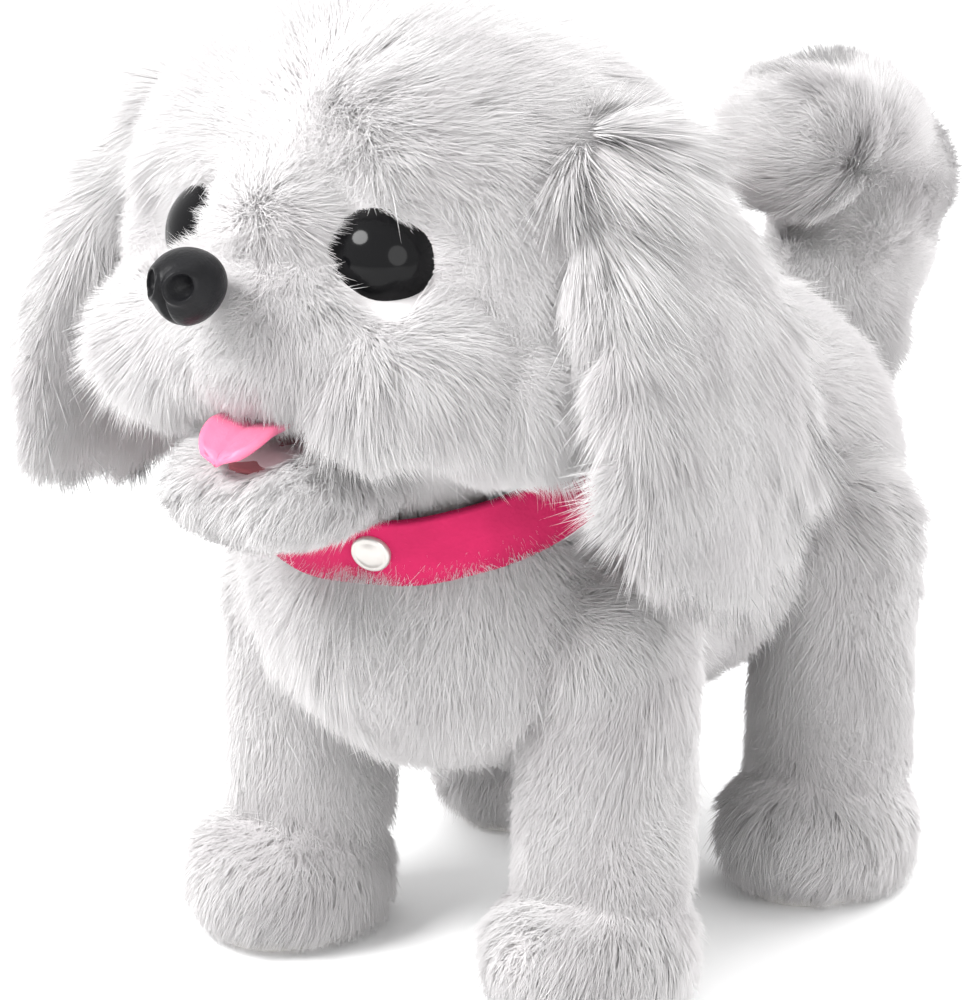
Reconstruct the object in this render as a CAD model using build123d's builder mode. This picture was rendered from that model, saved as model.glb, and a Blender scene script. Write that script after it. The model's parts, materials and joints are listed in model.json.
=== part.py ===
"""A battery-powered plush puppy that walks, nods, opens its mouth and wags its tail.

Millimetres. The puppy faces -Y, its left side is +X, +Z is up, and it stands on Z = 0.
The origin is on the floor, at the middle of the bounding box.
"""

import os
from math import acos, atan2, cos, hypot, pi, radians, sin, tan

from build123d import *

os.makedirs("parts", exist_ok=True)

# ---------------------------------------------------------------- driving dimensions

FIT = 0.05  # radial clearance of a running fit
GAP = 0.4  # clearance between pieces that don't touch
PILE = 8.0  # thickness of the torso plush
SIDES = {"left": 1, "right": -1}

# torso: a rounded barrel about an axis parallel to Y
BODY_R, BODY_Z = 42.0, 78.0
CHEST_Y, CHEST_LENGTH = -39.0, 42.0
RUMP_Y, RUMP_LENGTH = 37.0, 49.5

# the neck plane parts the head from the torso; the collar lies parallel to it
NECK_TILT = 21.0
NECK_POINT = (0, -85, 93.5)
NECK_GAP = 4.8
NECK_PIVOT = (-40.0, 113.0)
COLLAR_CENTRE = (0, -43, 98.5)
COLLAR_HALF_X, COLLAR_HALF_Y = 36.0, 39.0
COLLAR_THICK, COLLAR_WIDTH = 2.0, 13.0
SNAP_AT = 22.0  # degrees round the collar from the front, to the puppy's left
SNAP_R = 3.4

# head
HEAD = (0, -54, 136)
HEAD_HALF_WIDTH, HEAD_R = 62.0, 46.0
SNOUT = (0, -91, 132)
SNOUT_HALF_WIDTH, SNOUT_R = 29.0, 22.0
CHEEK = (33, -69, 119)
CHEEK_R = 24.0
SKULL_HALF_WIDTH, SKULL_R, SKULL_WALL = 45.0, 34.0, 2.0
EYE = (21, -91, 146)
EYE_R, EYE_YAW = 9.2, 33.0
NOSE = (0, -116, 142.5)
NOSE_R, NOSE_HALF_WIDTH = 7.2, 7.6

# jaw: laid out shut, then opened about its pivot
JAW_PIVOT = (-64.0, 112.0)
JAW_OPEN = 10.0
JAW_HALF_WIDTH, JAW_HALF_LENGTH, JAW_Y = 24.0, 22.0, -88.0
JAW_BOTTOM, JAW_TOP = 101.0, 112.0
MOUTH_ROOF, MOUTH_HALF_WIDTH, MOUTH_BACK = 117.0, 25.5, -57.0

# ears: flat flaps hanging from a seam
EAR_SEAM = (48.0, 160.0)
EAR_Y, EAR_FLARE = -57.0, 12.0
EAR_HALF_WIDTH, EAR_HALF_LENGTH, EAR_DROP, EAR_THICK = 29.0, 46.0, 39.0, 11.0

# legs: plastic levers beside the chassis, each in a plush sleeve
LEG_Y = {"front": -42.0, "hind": 37.0}
LEG_Z, LEG_X, LEG_R, HIP_R = 68.0, 34.0, 18.5, 19.0
LEVER_IN, LEVER_OUT = 23.0, 27.0
LEG_SWING = 8.0
PIN_R = 1.5
LINK_Z, LINK_IN, LINK_OUT = 86.0, 27.6, 29.8

# chassis: a clamshell split at X = 0
CHASSIS_X, WALL = 21.0, 2.0
CHASSIS_OUTLINE = [(-50, 50), (54, 50), (54, 104), (-40, 104), (-50, 94)]  # Y, Z
SCREWS = [(-45, 57), (-34, 98), (48, 56), (48, 98)]

# drive train, all shafts parallel to X
MODULE, PRESSURE_ANGLE = 0.6, 20.0
PINION_TEETH, FIRST_TEETH, SMALL_TEETH, LARGE_TEETH = 10, 44, 12, 42
SPREAD = 0.1  # added to each centre distance
MOTOR = (42.0, 72.0)
FIRST = (27.5, 79.4)
CRANK = (-2.5, 86.0)
CRANK_THROW = 2.5
AXLE_R = 1.25

# power
CELL_R, CELL_LENGTH = 7.2, 48.5
CELL_X, CELL_Y0, CELL_Z = 7.6, -35.7, 60.0
BAY_X, BAY_Y0, BAY_Y1 = 15.4, -38.0, 15.0
DOOR_Y1 = 22.0

# tail: a lever that wags about an upright pin behind the chassis
TAIL_PIN_Y, TAIL_Z0 = 61.0, 84.2
TAIL_ROOT_R = 16.0
TAIL_ARM = (83.0, 87.0)

# ---------------------------------------------------------------- helpers


def block(x, y, z, mode=Mode.ADD):
    """A box from three ranges, each given either way round."""
    centre = [(a + b) / 2 for a, b in (x, y, z)]
    with Locations(tuple(centre)):
        Box(abs(x[1] - x[0]), abs(y[1] - y[0]), abs(z[1] - z[0]), mode=mode)


def rod(start, end, radius, mode=Mode.ADD):
    """A round bar from one point to another."""
    start, end = Vector(start), Vector(end)
    with BuildSketch(Plane(origin=start, z_dir=end - start)) as section:
        Circle(radius)
    extrude(section.sketch, amount=(end - start).length, mode=mode)


def across(side, y, z, x0, x1, radius, mode=Mode.ADD):
    """A round bar parallel to X on one side of the puppy."""
    rod((side * x0, y, z), (side * x1, y, z), radius, mode)


def oval(centre, a, b, start, end):
    """A smooth curve along part of an ellipse, between two angles in degrees."""
    steps = 2 + abs(end - start) // 12
    angles = [radians(start + (end - start) * i / steps) for i in range(steps + 1)]
    points = [(centre[0] + a * cos(t), centre[1] + b * sin(t)) for t in angles]
    ends = [(-a * sin(t), b * cos(t)) for t in (angles[0], angles[-1])]
    return Spline(*points, tangents=ends)


def egg(centre, half_length, radius, axis, mode=Mode.ADD):
    """An ellipsoid of revolution about an axis through its centre."""
    upright = (1, 0, 0) if abs(Vector(axis).Z) > 0.5 else (0, 0, 1)
    plane = Plane(origin=centre, x_dir=axis, z_dir=Vector(axis).cross(Vector(upright)))
    with BuildSketch(plane) as section:
        with BuildLine():
            crown = oval((0, 0), half_length, radius, 2, 178)
            Polyline(crown @ 1, ((crown @ 1).X, 0), ((crown @ 0).X, 0), crown @ 0)
        make_face()
    revolve(section.sketch, axis=Axis(centre, axis), mode=mode)


def dome(centre, length, radius, side, mode=Mode.ADD):
    """Half an ellipsoid of revolution that bulges outward along X."""
    plane = Plane(origin=centre, x_dir=(side, 0, 0), z_dir=(0, -side, 0))
    with BuildSketch(plane) as section:
        with BuildLine():
            oval((0, 0), length, radius, 0, 90)
            Polyline((length, 0), (0, 0), (0, radius))
        make_face()
    revolve(section.sketch, axis=Axis(centre, (1, 0, 0)), mode=mode)


def barrel(inset, mode=Mode.ADD):
    """The torso's rounded barrel, inset from its outside."""
    r = BODY_R - inset
    front, rear = CHEST_LENGTH - inset, RUMP_LENGTH - inset
    with BuildSketch(Plane.YZ) as section:
        with BuildLine():
            oval((CHEST_Y, BODY_Z), front, r, 90, 180)
            oval((RUMP_Y, BODY_Z), rear, r, 0, 90)
            Line((CHEST_Y, BODY_Z + r), (RUMP_Y, BODY_Z + r))
            Line((CHEST_Y - front, BODY_Z), (RUMP_Y + rear, BODY_Z))
        make_face()
    revolve(section.sketch, axis=Axis((0, 0, BODY_Z), (0, 1, 0)), mode=mode)


def prism(plane, points, amount, mode=Mode.ADD):
    """A straight-sided block on a polygon."""
    with BuildSketch(plane) as section:
        with BuildLine():
            Polyline(*points, close=True)
        make_face()
    extrude(section.sketch, amount=amount, mode=mode)


def save(builder, name):
    """Labels a finished piece and writes its STEP file."""
    builder.part.label = name
    export_step(builder.part, f"parts/{name}.step")


tilt = radians(NECK_TILT)
tilted = {"x_dir": (1, 0, 0), "z_dir": (0, -sin(tilt), cos(tilt))}
neck_plane = Plane(origin=NECK_POINT, **tilted)
collar_plane = Plane(origin=COLLAR_CENTRE, **tilted)


def beyond(plane, mode=Mode.SUBTRACT):
    """Everything on the far side of a plane."""
    with BuildSketch(plane) as section:
        Rectangle(400, 400)
    extrude(section.sketch, amount=150, mode=mode)


# ---------------------------------------------------------------- torso plush and collar


def leg_bay(side, y):
    """The room that one leg needs in the torso plush to swing."""
    across(side, y, LEG_Z, LINK_OUT, 60, HIP_R + 1.3, Mode.SUBTRACT)
    top, low = HIP_R + 1.3, HIP_R + 7
    foot = BODY_Z - BODY_R - 2
    fan = [(y - top, LEG_Z), (y + top, LEG_Z), (y + low, foot), (y - low, foot)]
    prism(Plane.YZ.offset(side * 22), fan, side * 40, Mode.SUBTRACT)
    hem = [(y - low, 46), (y + low, 46), (y + low, foot), (y - low, foot)]
    prism(Plane.YZ.offset(side * 15.2), hem, side * 40, Mode.SUBTRACT)


with BuildPart() as torso_plush:
    barrel(0)
    barrel(PILE, Mode.SUBTRACT)
    block((-CHASSIS_X - GAP, CHASSIS_X + GAP), (-51, 55), (49.4, 105), Mode.SUBTRACT)
    block((-19, 19), (-40, 46), (30, 50), Mode.SUBTRACT)
    block((-14, 14), (65, 95), (78, 92), Mode.SUBTRACT)
    with BuildSketch(Plane.XY.offset(TAIL_Z0 - 0.6)) as tail_sweep:
        with Locations((0, TAIL_PIN_Y + 60)):
            Rectangle(100, 100)
        with Locations((0, TAIL_PIN_Y)):
            Circle(TAIL_ROOT_R - 0.6, mode=Mode.SUBTRACT)
    extrude(amount=60, mode=Mode.SUBTRACT)
    beyond(neck_plane.offset(-NECK_GAP / 2))
    with BuildSketch(collar_plane.offset(-COLLAR_WIDTH / 2 - GAP)) as collar_groove:
        inner = COLLAR_THICK + GAP
        Ellipse(COLLAR_HALF_X + 14, COLLAR_HALF_Y + 14)
        Ellipse(COLLAR_HALF_X - inner, COLLAR_HALF_Y - inner, mode=Mode.SUBTRACT)
    extrude(amount=COLLAR_WIDTH + 2 * GAP, mode=Mode.SUBTRACT)
    for leg_y in LEG_Y.values():
        for side in SIDES.values():
            leg_bay(side, leg_y)
save(torso_plush, "torso_plush")

with BuildPart() as collar_strap:
    with BuildSketch(collar_plane.offset(-COLLAR_WIDTH / 2)):
        Ellipse(COLLAR_HALF_X, COLLAR_HALF_Y)
        Ellipse(COLLAR_HALF_X - COLLAR_THICK, COLLAR_HALF_Y - COLLAR_THICK, mode=Mode.SUBTRACT)
    extrude(amount=COLLAR_WIDTH)
save(collar_strap, "collar_strap")

snap_angle = radians(SNAP_AT)
snap_spot = (COLLAR_HALF_X * sin(snap_angle), -COLLAR_HALF_Y * cos(snap_angle))
snap_out = (sin(snap_angle) / COLLAR_HALF_X, -cos(snap_angle) / COLLAR_HALF_Y, 0)
snap_origin = collar_plane.from_local_coords(Vector(*snap_spot, 0))
snap_normal = collar_plane.from_local_coords(Vector(*snap_out)) - collar_plane.origin
snap_plane = Plane(origin=snap_origin + snap_normal.normalized() * 0.4, z_dir=snap_normal)
with BuildPart() as collar_snap:
    with BuildSketch(snap_plane):
        Circle(SNAP_R)
    extrude(amount=1.8)
    rims = collar_snap.edges().filter_by(GeomType.CIRCLE)
    fillet(rims.sort_by(Axis(snap_plane.origin, snap_plane.z_dir))[-1], 1.2)
save(collar_snap, "collar_snap")

# ---------------------------------------------------------------- chassis

SECOND_REACH = MODULE * (SMALL_TEETH + LARGE_TEETH) / 2 + SPREAD
chord = hypot(CRANK[0] - FIRST[0], CRANK[1] - FIRST[1])
lift = (SECOND_REACH**2 - (chord / 2) ** 2) ** 0.5
SECOND = (
    (FIRST[0] + CRANK[0]) / 2 + lift * (CRANK[1] - FIRST[1]) / chord,
    (FIRST[1] + CRANK[1]) / 2 - lift * (CRANK[0] - FIRST[0]) / chord,
)


def inset_outline(amount):
    """The chassis outline moved in by a wall thickness."""
    y0, z0 = CHASSIS_OUTLINE[0]
    y1, z1 = CHASSIS_OUTLINE[2]
    slope = amount * tan(radians(22.5))
    return [
        (y0 + amount, z0 + amount),
        (y1 - amount, z0 + amount),
        (y1 - amount, z1 - amount),
        (CHASSIS_OUTLINE[3][0] + slope, z1 - amount),
        (y0 + amount, CHASSIS_OUTLINE[4][1] - slope),
    ]


for name, side in SIDES.items():
    with BuildPart() as chassis:
        prism(Plane.YZ, CHASSIS_OUTLINE, side * CHASSIS_X)
        prism(Plane.YZ, inset_outline(WALL), side * (CHASSIS_X - WALL), Mode.SUBTRACT)
        block((0, side * 20), (BAY_Y0 - 1.5, BAY_Y1 + 1.5), (67.8, 69.3))
        block((0, side * 20), (BAY_Y0 - 1.5, BAY_Y0), (51, 69))
        block((0, side * 20), (BAY_Y1, BAY_Y1 + 1.5), (51, 69))
        block((0, side * 3.4), (16.5, 22), (53, 60))
        block((0, side * 20), (22, 23.5), (51, 60))
        block((0, side * BAY_X), (BAY_Y0, DOOR_Y1), (49, 52), Mode.SUBTRACT)
        block((0, side * 3), (25, 37), (49, 53), Mode.SUBTRACT)
        rod((0, 19.3, 48), (0, 19.3, 61), 1.45, Mode.SUBTRACT)
        for y, z in SCREWS:
            across(side, y, z, 0, CHASSIS_X - 1, 3.2)
            across(side, y, z, 0, CHASSIS_X, 1.32, Mode.SUBTRACT)
            if side > 0:
                across(side, y, z, CHASSIS_X - 1.8, CHASSIS_X, 2.9, Mode.SUBTRACT)
        for y in LEG_Y.values():
            across(side, y, LEG_Z, 17.6, CHASSIS_X - 1, 4)
            across(side, y, LEG_Z, 13, CHASSIS_X, PIN_R + 0.02, Mode.SUBTRACT)
        bevel = [(side * 21.1, 100.4), (side * 21.1, 104.1), (side * 17.4, 104.1)]
        prism(Plane.XZ.offset(60), bevel, -130, Mode.SUBTRACT)
        across(side, *CRANK, 0, CHASSIS_X, PIN_R + FIT, Mode.SUBTRACT)
        for spot in (FIRST, SECOND):
            across(side, *spot, 0, CHASSIS_X, AXLE_R + 0.02, Mode.SUBTRACT)
    save(chassis, f"chassis_{name}")

with BuildPart() as chassis_screws:
    for y, z in SCREWS:
        rod((-16, y, z), (19.4, y, z), 1.3)
        rod((19.4, y, z), (20.8, y, z), 2.7)
save(chassis_screws, "chassis_screws")

with BuildPart() as leg_pins:
    for y in LEG_Y.values():
        for side in SIDES.values():
            across(side, y, LEG_Z, 17.8, 27.5, PIN_R)
            across(side, y, LEG_Z, 27.3, 28.5, 3.0)
save(leg_pins, "leg_pins")

# ---------------------------------------------------------------- power and sound

for name, side in SIDES.items():
    with BuildPart() as cell:
        y0, y1 = CELL_Y0, CELL_Y0 + CELL_LENGTH
        rod((side * CELL_X, y0, CELL_Z), (side * CELL_X, y1, CELL_Z), CELL_R)
        nub = (y0, y0 - 1.2) if side > 0 else (y1, y1 + 1.2)
        rod((side * CELL_X, nub[0], CELL_Z), (side * CELL_X, nub[1], CELL_Z), 2.7)
    save(cell, f"battery_cell_{name}")

with BuildPart() as battery_contacts:
    for side in SIDES.values():
        block((side * 2.5, side * 12.5), (BAY_Y0, BAY_Y0 + 0.5), (55, 65))
        block((side * 2.5, side * 12.5), (BAY_Y1 - 0.5, BAY_Y1), (55, 65))
        if side > 0:
            y0, y1 = CELL_Y0 + CELL_LENGTH + 0.1, BAY_Y1 - 0.5
        else:
            y0, y1 = BAY_Y0 + 0.5, CELL_Y0 - 0.1
        rod((side * CELL_X, y0, CELL_Z), (side * CELL_X, y1, CELL_Z), 3.2)
        rod((side * CELL_X, y0, CELL_Z), (side * CELL_X, y1, CELL_Z), 2.4, Mode.SUBTRACT)
save(battery_contacts, "battery_contacts")

with BuildPart() as battery_door:
    block((-BAY_X + GAP, BAY_X - GAP), (BAY_Y0 + GAP, DOOR_Y1 - GAP), (50, 51.8))
    for rib in range(3):
        block((-10, 10), (-34 + 4 * rib, -32.6 + 4 * rib), (49.2, 50))
    rod((0, 19.3, 49), (0, 19.3, 52), 1.45, Mode.SUBTRACT)
save(battery_door, "battery_door")

with BuildPart() as door_screw:
    rod((0, 19.3, 50), (0, 19.3, 58), 1.4)
    rod((0, 19.3, 50), (0, 19.3, 48.6), 2.7)
    block((-2.0, 2.0), (18.9, 19.7), (48.5, 49.1), Mode.SUBTRACT)
save(door_screw, "door_screw")

with BuildPart() as switch_body:
    block((-5, 5), (24, 38), (52.1, 58))
    block((-2.2, 2.2), (26, 36), (52, 55.2), Mode.SUBTRACT)
save(switch_body, "switch_body")

with BuildPart() as switch_knob:
    block((-1.9, 1.9), (26.6, 31.4), (52.4, 54.9))
    block((-1.5, 1.5), (27.4, 30.6), (47.2, 52.6))
save(switch_knob, "switch_knob")

with BuildPart() as speaker:
    rod((0, -47.8, 80), (0, -45.2, 80), 13)
    rod((0, -45.2, 80), (0, -42.2, 80), 8)
    rod((0, -47.9, 80), (0, -46.6, 80), 11.4, Mode.SUBTRACT)
save(speaker, "speaker")

with BuildPart() as circuit_board:
    block((-16, 16), (27.5, 44), (95.5, 97.1))
    block((-9, -3), (31, 39), (97.1, 98.8))
    block((4, 8), (30, 34), (97.1, 99.3))
    rod((11, 38, 97.1), (11, 38, 100.6), 2.4)
save(circuit_board, "circuit_board")

with BuildPart() as leads:
    for y in (37, 43):
        rod((-16.9, y, 77.5), (-15, y, 95.2), 0.6)
    for x in (-17.4, -13):
        rod((x, 18.5, 62), (x + 2, 29.5, 95.0), 0.6)
save(leads, "leads")

# ---------------------------------------------------------------- drive train


def gear(centre, x0, x1, teeth, phase):
    """An involute spur gear about a shaft parallel to X."""
    pitch = MODULE * teeth / 2
    base = pitch * cos(radians(PRESSURE_ANGLE))
    root, tip = pitch - 1.25 * MODULE, pitch + MODULE
    half = pi / (2 * teeth) - 0.03 / pitch

    def roll(radius):
        pressure = acos(min(1, base / radius))
        return tan(pressure) - pressure

    flank = [max(root, base) + (tip - max(root, base)) * i / 3 for i in range(4)]
    outline = []
    for tooth in range(teeth):
        middle = phase + 2 * pi * tooth / teeth
        spread = [half + roll(pitch) - roll(r) for r in flank]
        outline.append((root, middle - spread[0] - 0.02))
        outline += [(r, middle - a) for r, a in zip(flank, spread)]
        outline += [(r, middle + a) for r, a in reversed(list(zip(flank, spread)))]
        outline.append((root, middle + spread[0] + 0.02))
    points = [(centre[0] + r * cos(a), centre[1] + r * sin(a)) for r, a in outline]
    prism(Plane.YZ.offset(x0), points, x1 - x0)


def mate(driver, driver_teeth, driver_phase, driven, driven_teeth):
    """The phase at which a driven gear's gaps face its driver's teeth."""
    bearing = atan2(driven[1] - driver[1], driven[0] - driver[0])
    turn = (bearing - driver_phase) * driver_teeth / (2 * pi)
    return bearing + pi + (turn + 0.5) * 2 * pi / driven_teeth


first_phase = mate(MOTOR, PINION_TEETH, 0, FIRST, FIRST_TEETH)
second_phase = mate(FIRST, SMALL_TEETH, 0, SECOND, LARGE_TEETH)
crank_phase = mate(SECOND, SMALL_TEETH, 0, CRANK, LARGE_TEETH)

with BuildPart() as drive_motor:
    rod((-16, *MOTOR), (9, *MOTOR), 10)
    block((-17, 10), (MOTOR[0] - 11, MOTOR[0] + 11), (MOTOR[1] + 7.5, MOTOR[1] + 11), Mode.SUBTRACT)
    block((-17, 10), (MOTOR[0] - 11, MOTOR[0] + 11), (MOTOR[1] - 11, MOTOR[1] - 7.5), Mode.SUBTRACT)
    rod((9, *MOTOR), (10.4, *MOTOR), 3)
    rod((10.4, *MOTOR), (16.5, *MOTOR), 0.95)
    rod((-17.2, *MOTOR), (-16, *MOTOR), 4)
save(drive_motor, "drive_motor")

with BuildPart() as motor_pinion:
    gear(MOTOR, 10.8, 15.5, PINION_TEETH, 0)
    rod((10, *MOTOR), (16, *MOTOR), 0.95 + FIT, Mode.SUBTRACT)
save(motor_pinion, "motor_pinion")

with BuildPart() as first_gear:
    gear(FIRST, 11.3, 14.3, FIRST_TEETH, first_phase)
    gear(FIRST, 6, 11.3, SMALL_TEETH, 0)
    rod((5, *FIRST), (15, *FIRST), AXLE_R + FIT, Mode.SUBTRACT)
save(first_gear, "first_gear")

with BuildPart() as second_gear:
    gear(SECOND, 6.6, 9.6, LARGE_TEETH, second_phase)
    gear(SECOND, 1.2, 6.6, SMALL_TEETH, 0)
    rod((0, *SECOND), (12, *SECOND), AXLE_R + FIT, Mode.SUBTRACT)
save(second_gear, "second_gear")

with BuildPart() as gear_axles:
    for spot in (FIRST, SECOND):
        rod((-20.6, *spot), (20.6, *spot), AXLE_R)
save(gear_axles, "gear_axles")

with BuildPart() as crank_gear:
    gear(CRANK, 1.7, 4.7, LARGE_TEETH, crank_phase)
    rod((-4, *CRANK), (1.7, *CRANK), 4)
    rod((-5, *CRANK), (6, *CRANK), PIN_R + 0.02, Mode.SUBTRACT)
save(crank_gear, "crank_gear")

with BuildPart() as crank_shaft:
    rod((-25.2, *CRANK), (25.2, *CRANK), PIN_R)
save(crank_shaft, "crank_shaft")

for name, side in SIDES.items():
    with BuildPart() as crank_disc:
        across(side, *CRANK, 22.2, 25.2, 5.5)
        across(side, CRANK[0] + side * CRANK_THROW, CRANK[1], 25.2, LINK_IN - 0.4, 1.2)
        across(side, *CRANK, 22, 25.3, PIN_R + 0.02, Mode.SUBTRACT)
    save(crank_disc, f"crank_disc_{name}")

    with BuildPart() as link_bar:
        width = (side * LINK_IN, side * LINK_OUT)
        block(width, (LEG_Y["front"], LEG_Y["hind"]), (LINK_Z - 2.6, LINK_Z + 2.6))
        block(width, (CRANK[0] - 4.5, CRANK[0] + 4.5), (LINK_Z - 6.5, LINK_Z + 6.5))
        for y in LEG_Y.values():
            across(side, y, LINK_Z, LINK_IN, LINK_OUT, 4.2)
            across(side, y, LINK_Z, LINK_IN, LINK_OUT, PIN_R + FIT, Mode.SUBTRACT)
        block(width, (CRANK[0] - 1.35, CRANK[0] + 1.35), (LINK_Z - 4, LINK_Z + 4), Mode.SUBTRACT)
    save(link_bar, f"link_bar_{name}")

# ---------------------------------------------------------------- legs


def leg(place, name, side):
    """One leg: its lever, its plush sleeve and its foot pad."""
    y = LEG_Y[place]
    toe = y - 5

    with BuildPart() as lever:
        block((side * LEVER_IN, side * LEVER_OUT), (y - 5, y + 5), (8, LINK_Z))
        across(side, y, LINK_Z, LEVER_IN, LEVER_OUT, 4.6)
        across(side, y, LEG_Z, LEVER_IN - 1.6, LEVER_IN, 3.6)
        across(side, y, LINK_Z, LEVER_OUT, LINK_OUT + 0.4, PIN_R)
        block((side * LEVER_IN, side * 45), (toe - 13, toe + 13), (4.4, 8))
        across(side, y, LEG_Z, LEVER_IN - 2, LEVER_OUT, PIN_R + FIT, Mode.SUBTRACT)
    save(lever, f"{place}_{name}_lever")

    with BuildPart() as sleeve:
        egg((side * LEG_X, y, 33), 44, LEG_R, (0, 0, 1))
        block((0, side * 60), (y - 40, y + 40), (-30, 16), Mode.SUBTRACT)
        egg((side * (LEG_X + 1.5), toe, 15), 23.5, 18.5, (0, 1, 0))
        block((0, side * 60), (y - 40, y + 40), (-30, 0.5), Mode.SUBTRACT)
        block((side * 10, side * 30.4), (y - 30, y + 30), (43, 100), Mode.SUBTRACT)
        dome((side * 30.4, y, LEG_Z), 20, HIP_R, side)
        block((side * 22.6, side * 27.4), (y - 5.4, y + 5.4), (3, 44), Mode.SUBTRACT)
        block((side * 22.6, side * 45.4), (toe - 13.4, toe + 13.4), (4, 8.4), Mode.SUBTRACT)
        with BuildSketch(Plane.XY.offset(-1)) as well:
            with Locations((side * (LEG_X + 1), toe)):
                Ellipse(13.4, 17.4)
        extrude(well.sketch, amount=5.2, mode=Mode.SUBTRACT)
    save(sleeve, f"{place}_{name}_plush")

    with BuildPart() as foot:
        with BuildSketch(Plane.XY):
            with Locations((side * (LEG_X + 1), toe)):
                Ellipse(13, 17)
        extrude(amount=4)
        fillet(foot.edges().group_by(Axis.Z)[0], 1)
    save(foot, f"{place}_{name}_foot")


for place in LEG_Y:
    for name, side in SIDES.items():
        leg(place, name, side)

# ---------------------------------------------------------------- head

seam_x, seam_z = EAR_SEAM
flare = radians(EAR_FLARE)
head_neck = neck_plane.offset(NECK_GAP / 2)


def inward(side, distance):
    """A point on an eye's stem, that far behind the middle of the dome."""
    yaw = radians(EYE_YAW)
    return (side * (EYE[0] - distance * sin(yaw)), EYE[1] + distance * cos(yaw), EYE[2])


with BuildPart() as head_plush:
    egg(HEAD, HEAD_HALF_WIDTH, HEAD_R, (1, 0, 0))
    egg(SNOUT, SNOUT_HALF_WIDTH, SNOUT_R, (1, 0, 0))
    for side in SIDES.values():
        egg((side * CHEEK[0], CHEEK[1], CHEEK[2]), CHEEK_R, CHEEK_R, (1, 0, 0))
    block((-MOUTH_HALF_WIDTH, MOUTH_HALF_WIDTH), (-125, MOUTH_BACK), (80, MOUTH_ROOF), Mode.SUBTRACT)
    with BuildSketch(head_neck) as neck_trim:
        Rectangle(400, 400)
    extrude(neck_trim.sketch, amount=-150, mode=Mode.SUBTRACT)
    egg(HEAD, SKULL_HALF_WIDTH + GAP, SKULL_R + GAP, (1, 0, 0), Mode.SUBTRACT)
    for side in SIDES.values():
        across(side, HEAD[1], HEAD[2], SKULL_HALF_WIDTH - 9, SKULL_HALF_WIDTH + GAP, 10.5, Mode.SUBTRACT)
    for side in SIDES.values():
        reach = seam_z - 60
        flat = [
            (side * seam_x, seam_z),
            (side * (seam_x + reach * tan(flare)), 60),
            (side * 130, 60),
            (side * 130, seam_z + 3.6),
            (side * seam_x, seam_z + 3.6),
        ]
        prism(Plane.XZ.offset(130), flat, -200, Mode.SUBTRACT)
    for side in SIDES.values():
        yaw = radians(EYE_YAW)
        gaze = (side * sin(yaw), -cos(yaw), 0)
        rod(inward(side, 1), inward(side, 22), 2.8, Mode.SUBTRACT)
        egg(inward(side, 0), EYE_R + GAP, EYE_R + GAP, gaze, Mode.SUBTRACT)
    rod(NOSE, (NOSE[0], -84, NOSE[2]), 2.8, Mode.SUBTRACT)
    egg(NOSE, NOSE_R + GAP, NOSE_HALF_WIDTH + GAP, (0, 1, 0), Mode.SUBTRACT)
save(head_plush, "head_plush")

boss_angles = [radians(a) for a in (15, 95, 145)]
skull_bosses = [(HEAD[1] + 28.6 * cos(a), HEAD[2] + 28.6 * sin(a)) for a in boss_angles]
for name, side in SIDES.items():
    with BuildPart() as skull:
        egg(HEAD, SKULL_HALF_WIDTH, SKULL_R, (1, 0, 0))
        egg(HEAD, SKULL_HALF_WIDTH - SKULL_WALL, SKULL_R - SKULL_WALL, (1, 0, 0), Mode.SUBTRACT)
        block((-MOUTH_HALF_WIDTH, MOUTH_HALF_WIDTH), (-125, MOUTH_BACK), (80, MOUTH_ROOF), Mode.SUBTRACT)
        with BuildSketch(head_neck) as skull_trim:
            Rectangle(400, 400)
        extrude(skull_trim.sketch, amount=-150, mode=Mode.SUBTRACT)
        block((0, -side * 60), (-120, 20), (60, 200), Mode.SUBTRACT)
        rod(inward(side, 10.4), inward(side, 14.4), 5)
        rod(inward(side, 5), inward(side, 20), 2.6, Mode.SUBTRACT)
        for y, z in skull_bosses:
            across(side, y, z, 0, 10, 3)
            across(side, y, z, 0, 10, 1.25, Mode.SUBTRACT)
        across(side, *NECK_PIVOT, 6.6, 26.6, 4)
        across(side, *NECK_PIVOT, 6, 14, PIN_R + FIT, Mode.SUBTRACT)
        across(side, *JAW_PIVOT, 13, 26.0, 2.6)
        across(side, *JAW_PIVOT, 12, 20, AXLE_R + 0.02, Mode.SUBTRACT)
        rod((0, -86.4, NOSE[2]), (0, -83, NOSE[2]), 5)
        rod((0, -95, NOSE[2]), (0, -70, NOSE[2]), 2.6, Mode.SUBTRACT)
        block((0, -side * 60), (-120, 20), (60, 200), Mode.SUBTRACT)
    save(skull, f"skull_{name}")

with BuildPart() as skull_screws:
    for y, z in skull_bosses:
        rod((-9.6, y, z), (10, y, z), 1.2)
        rod((10, y, z), (11.2, y, z), 1.9)
save(skull_screws, "skull_screws")

for name, side in SIDES.items():
    with BuildPart() as eye:
        egg(inward(side, 0), EYE_R, EYE_R, (1, 0, 0))
        rod(inward(side, 5), inward(side, 12), 12, Mode.SUBTRACT)
        rod(inward(side, 0), inward(side, 18), 2.4)
    save(eye, f"eye_{name}")

with BuildPart() as nose:
    egg(NOSE, NOSE_R, NOSE_HALF_WIDTH, (0, 1, 0))
    rod(NOSE, (0, -79.6, NOSE[2]), 2.4)
save(nose, "nose")

with BuildPart() as face_washers:
    for side in SIDES.values():
        rod(inward(side, 14.7), inward(side, 16.2), 5)
        rod(inward(side, 13), inward(side, 19), 2.45, Mode.SUBTRACT)
    rod((0, -82.7, NOSE[2]), (0, -81.2, NOSE[2]), 5)
    rod((0, -84, NOSE[2]), (0, -76, NOSE[2]), 2.45, Mode.SUBTRACT)
save(face_washers, "face_washers")

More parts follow.
